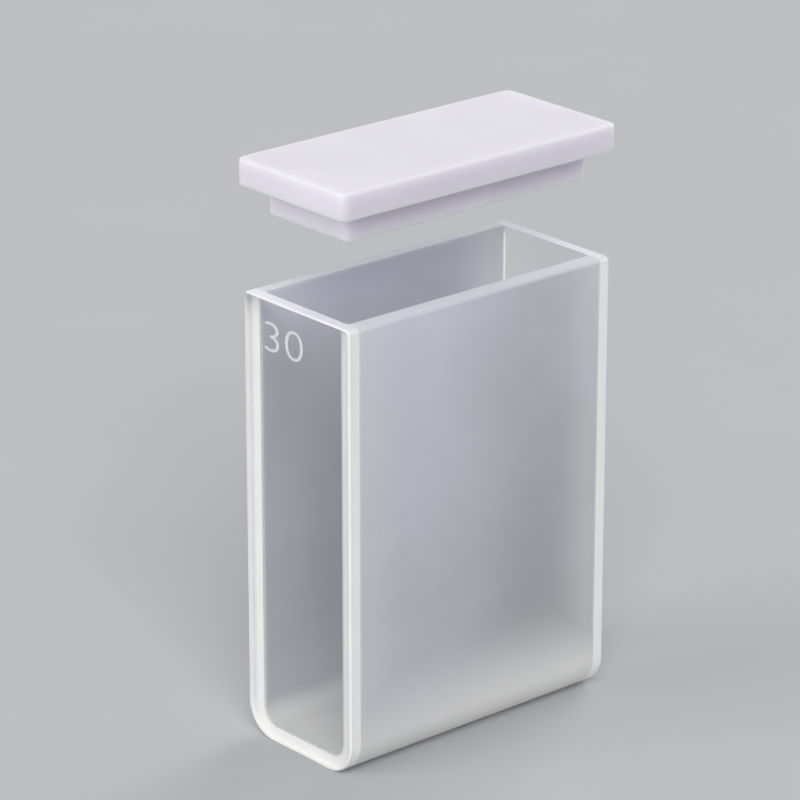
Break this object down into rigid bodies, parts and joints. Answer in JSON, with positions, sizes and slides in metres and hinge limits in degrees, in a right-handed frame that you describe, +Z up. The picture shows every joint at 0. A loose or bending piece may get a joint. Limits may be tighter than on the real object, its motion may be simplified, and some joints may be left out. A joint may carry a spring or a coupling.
{
  "type": "spectrophotometer cell with lid",
  "caption": "Rectangular glass sample cell with frosted long walls, rounded bottom corners, a clear window fused on each end, and a white plug lid that lifts off its open mouth.",
  "frame": {"origin": "centre of the cell's underside, on the surface that it stands on", "axes": "+Z up through the mouth and along the lid's lift; X across the two frosted walls; Y along the light path, with the marked front window facing -Y"},
  "size_m": [0.0154, 0.034, 0.0581],
  "materials": {
    "frosted_glass": "ground, fine matte",
    "clear_glass": "optically polished faces with ground edges",
    "white_plastic": "machined, satin"
  },
  "bodies": {
    "cell": {"u_frame": "frosted_glass", "front_window": "clear_glass", "back_window": "clear_glass"},
    "lid": {"lid": "white_plastic"}
  },
  "joints": [
    {"name": "lid_lift", "type": "slide", "parent": "cell", "child": "lid", "axis": [0, 0, 1], "range_m": [-0.01045, 0.01]}
  ]
}
